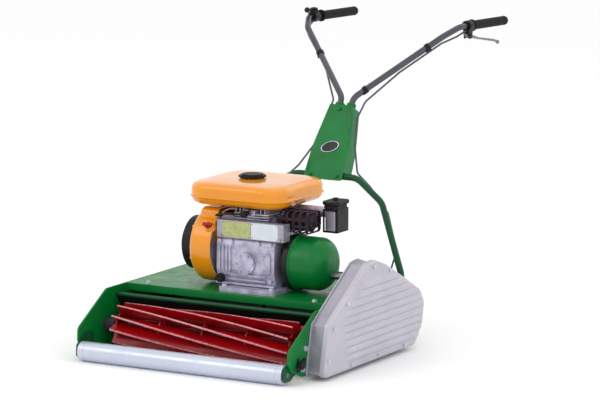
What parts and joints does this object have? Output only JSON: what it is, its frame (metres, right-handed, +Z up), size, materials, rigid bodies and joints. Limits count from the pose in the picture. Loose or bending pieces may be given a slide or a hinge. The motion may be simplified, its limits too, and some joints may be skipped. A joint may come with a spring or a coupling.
{
  "type": "reel mower",
  "caption": "Petrol-powered walk-behind reel mower with side-shaft engine, front roller, helical reel, split drive roller, ribbed chain case and spread handlebars.",
  "frame": {"origin": "middle of the footprint, on the ground under the rollers", "axes": "+Z up; +Y towards the handles and the operator; +X to the operator's left, the chain case side"},
  "size_m": [0.804, 1.5414, 0.926],
  "materials": {
    "green_paint": "gloss enamel",
    "dark_green_paint": "gloss enamel",
    "black_paint": "satin enamel",
    "ribbed_aluminium": "pressed and polished",
    "cast_aluminium": "die cast",
    "steel": "turned",
    "zinc": "bright plated",
    "red_paint": "gloss enamel",
    "orange_paint": "gloss enamel",
    "black_plastic": "moulded",
    "rubber_grip": "ribbed",
    "cast_iron": "as cast",
    "roller_steel": "rolled",
    "chain_steel": "oiled",
    "baffle_steel": "plated sheet",
    "muffler_black": "heat-proof matt",
    "hose_rubber": "smooth",
    "red_plastic": "moulded",
    "bar_chrome": "drawn and plated",
    "cable_sheath": "extruded"
  },
  "bodies": {
    "chassis": {"side_plate_left": "green_paint", "side_plate_right": "green_paint", "deck_plate": "green_paint", "frame_bolts": "zinc", "deflector_plate": "black_paint", "tie_bar": "dark_green_paint", "blade_carrier": "black_paint", "bottom_blade": "steel", "bearing_housings": "cast_iron", "countershaft_bearing": "cast_iron", "reel_chain": "chain_steel", "roller_chain": "chain_steel", "chain_case_back": "ribbed_aluminium", "chain_case_wall": "baffle_steel", "chain_case_cover": "ribbed_aluminium", "clutch_backplate": "black_paint", "clutch_cover": "green_paint", "crankcase": "cast_aluminium", "oil_plug": "black_plastic", "cylinder_block": "cast_aluminium", "cylinder_head": "cast_aluminium", "spark_plug": "black_plastic", "cylinder_baffle": "baffle_steel", "muffler": "muffler_black", "muffler_guard": "muffler_black", "carburettor": "cast_aluminium", "air_cleaner": "baffle_steel", "air_cleaner_lid": "black_plastic", "fan_shroud": "orange_paint", "recoil_housing": "black_plastic", "fuel_tank": "orange_paint", "fuel_line": "hose_rubber", "handle_arch": "dark_green_paint", "column": "green_paint", "handlebars": "bar_chrome", "grips": "rubber_grip", "lever_brackets": "black_plastic", "control_cables": "cable_sheath"},
    "carriage": {"roller_brackets": "dark_green_paint", "front_roller_axle": "steel"},
    "knob_left": {"wing_knob_left": "black_plastic"},
    "knob_right": {"wing_knob_right": "black_plastic"},
    "front_roller_body": {"front_roller": "zinc"},
    "reel": {"reel_shaft": "steel", "reel_discs": "red_paint", "reel_blades": "red_paint"},
    "roller_left": {"drive_roller_left": "roller_steel", "drive_axle": "steel"},
    "roller_right": {"drive_roller_right": "roller_steel"},
    "countershaft_body": {"countershaft": "steel", "reduction_gear": "steel"},
    "drum": {"clutch_drum": "steel"},
    "crank": {"crankshaft": "steel", "flywheel": "cast_aluminium"},
    "starter": {"starter_handle": "black_plastic"},
    "cap": {"tank_cap": "black_plastic"},
    "choke": {"choke_lever": "black_plastic"},
    "switch": {"stop_switch": "red_plastic"},
    "throttle": {"throttle_lever": "black_plastic"},
    "lever": {"clutch_lever": "steel"}
  },
  "joints": [
    {"name": "cut_height", "type": "slide", "parent": "chassis", "child": "carriage", "axis": [0, 0, 1], "range_m": [-0.012, 0.006]},
    {"name": "knob_left_turn", "type": "hinge", "parent": "carriage", "child": "knob_left", "pos_m": [0.332, -0.69575, 0.052], "axis": [1, 0, 0], "range_deg": [-180, 180]},
    {"name": "knob_right_turn", "type": "hinge", "parent": "carriage", "child": "knob_right", "pos_m": [-0.388, -0.69575, 0.052], "axis": [1, 0, 0], "range_deg": [-180, 180]},
    {"name": "front_roller_spin", "type": "hinge", "parent": "carriage", "child": "front_roller_body", "pos_m": [-0.028, -0.74175, 0.029], "axis": [1, 0, 0], "continuous": true},
    {"name": "drive_roller_spin", "type": "hinge", "parent": "chassis", "child": "roller_left", "pos_m": [-0.028, -0.19375, 0.088], "axis": [1, 0, 0], "continuous": true},
    {"name": "right_roller_spin", "type": "hinge", "parent": "chassis", "child": "roller_right", "pos_m": [-0.028, -0.19375, 0.088], "axis": [1, 0, 0], "continuous": true},
    {"name": "reel_spin", "type": "hinge", "parent": "chassis", "child": "reel", "pos_m": [-0.028, -0.59575, 0.084], "axis": [1, 0, 0], "continuous": true},
    {"name": "countershaft_spin", "type": "hinge", "parent": "chassis", "child": "countershaft_body", "pos_m": [-0.028, -0.34175, 0.24625], "axis": [1, 0, 0], "continuous": true},
    {"name": "clutch_drum_spin", "type": "hinge", "parent": "chassis", "child": "drum", "pos_m": [-0.028, -0.34175, 0.305], "axis": [1, 0, 0], "continuous": true},
    {"name": "crankshaft_spin", "type": "hinge", "parent": "chassis", "child": "crank", "pos_m": [-0.028, -0.34175, 0.305], "axis": [1, 0, 0], "continuous": true},
    {"name": "starter_pull", "type": "slide", "parent": "chassis", "child": "starter", "axis": [0, 0.8, 0.6], "range_m": [0, 0.04], "stiffness_N_per_m": 60, "springref_m": -0.02},
    {"name": "tank_cap_turn", "type": "hinge", "parent": "chassis", "child": "cap", "pos_m": [-0.058, -0.29175, 0.509], "axis": [0, 0, 1], "range_deg": [0, 120]},
    {"name": "choke_turn", "type": "hinge", "parent": "chassis", "child": "choke", "pos_m": [-0.008, -0.21175, 0.412], "axis": [0, 1, 0], "range_deg": [-60, 0]},
    {"name": "stop_switch_turn", "type": "hinge", "parent": "chassis", "child": "switch", "pos_m": [-0.124, -0.43535, 0.3752], "axis": [0, -0.8, 0.6], "range_deg": [0, 60]},
    {"name": "throttle_turn", "type": "hinge", "parent": "chassis", "child": "throttle", "pos_m": [-0.296, 0.49825, 0.915], "axis": [0, 0, 1], "range_deg": [-60, 0]},
    {"name": "clutch_lever_squeeze", "type": "hinge", "parent": "chassis", "child": "lever", "pos_m": [0.24, 0.52025, 0.862], "axis": [1, 0, 0], "range_deg": [0, 11], "stiffness_Nm_per_rad": 3, "springref_deg": -17.19}
  ],
  "couplings": [
    {"joint": "right_roller_spin", "follows": "drive_roller_spin", "ratio": 1},
    {"joint": "countershaft_spin", "follows": "drive_roller_spin", "ratio": 2.7273},
    {"joint": "reel_spin", "follows": "drive_roller_spin", "ratio": 3.8961},
    {"joint": "clutch_drum_spin", "follows": "drive_roller_spin", "ratio": -5.2841}
  ]
}
